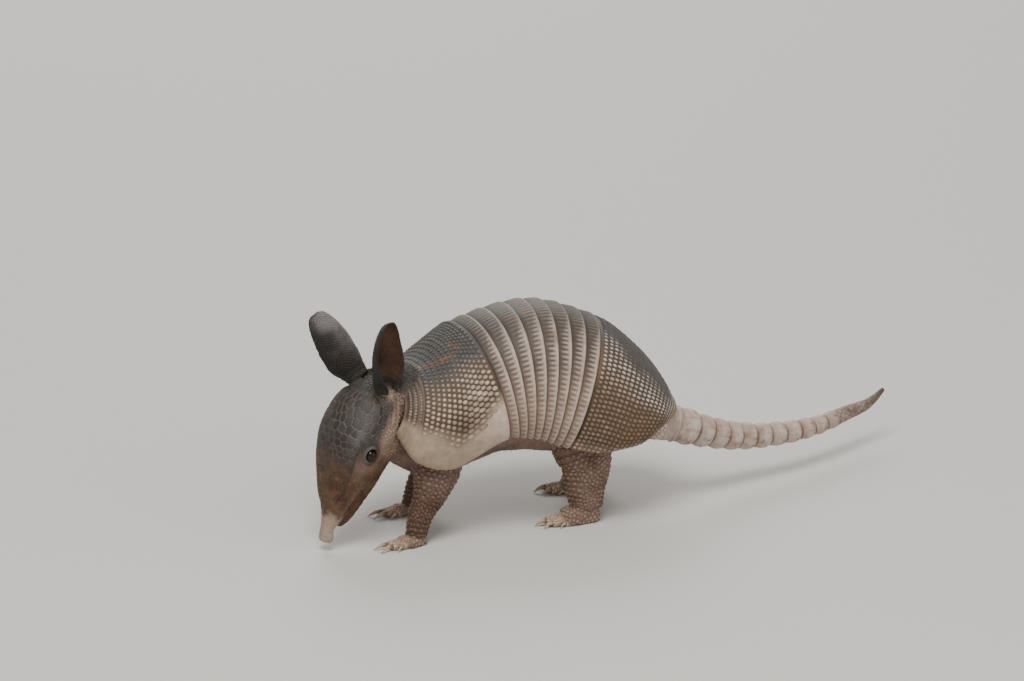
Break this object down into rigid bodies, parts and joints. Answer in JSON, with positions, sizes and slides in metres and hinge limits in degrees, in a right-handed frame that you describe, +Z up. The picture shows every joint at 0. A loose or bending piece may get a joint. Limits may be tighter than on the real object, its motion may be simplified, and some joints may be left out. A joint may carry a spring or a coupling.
{
  "type": "young armadillo",
  "caption": "Still, life-size young long-nosed armadillo nosing at the ground, with its banded shell, tall ears and a ringed tail held out behind.",
  "frame": {"origin": "on the floor, under the middle of the bounding box", "axes": "+X towards the tail, which is the longest extent; -Y towards the animal's left side, across the shortest extent; +Z up"},
  "size_m": [0.2939, 0.0887, 0.1069],
  "materials": {
    "shell": "bony scutes, dull",
    "band": "bony scutes with pale rear rims",
    "head_plate": "horny scales, dull",
    "skin": "wrinkled scaly skin",
    "head": "wrinkled scaly skin",
    "ear": "pebbled skin",
    "tail": "hard rings",
    "claw": "horn",
    "eye": "wet, black"
  },
  "bodies": {
    "root": {"shoulder_shield": "shell", "band_1": "band", "band_2": "band", "band_3": "band", "band_4": "band", "band_5": "band", "band_6": "band", "band_7": "band", "band_8": "band", "pelvic_shield": "shell", "head": "head", "head_shield": "head_plate", "eye_left": "eye", "ear_left": "ear", "eye_right": "eye", "ear_right": "ear", "trunk": "skin", "neck": "skin", "tail_base": "tail", "tail_middle": "tail", "tail_end": "tail", "foreleg_left": "skin", "forefoot_left": "skin", "foreclaw_left_1": "claw", "foreclaw_left_2": "claw", "foreclaw_left_3": "claw", "foreclaw_left_4": "claw", "foreleg_right": "skin", "forefoot_right": "skin", "foreclaw_right_1": "claw", "foreclaw_right_2": "claw", "foreclaw_right_3": "claw", "foreclaw_right_4": "claw", "hindleg_left": "skin", "hindfoot_left": "skin", "hindclaw_left_1": "claw", "hindclaw_left_2": "claw", "hindclaw_left_3": "claw", "hindclaw_left_4": "claw", "hindclaw_left_5": "claw", "hindleg_right": "skin", "hindfoot_right": "skin", "hindclaw_right_1": "claw", "hindclaw_right_2": "claw", "hindclaw_right_3": "claw", "hindclaw_right_4": "claw", "hindclaw_right_5": "claw"}
  },
  "joints": []
}
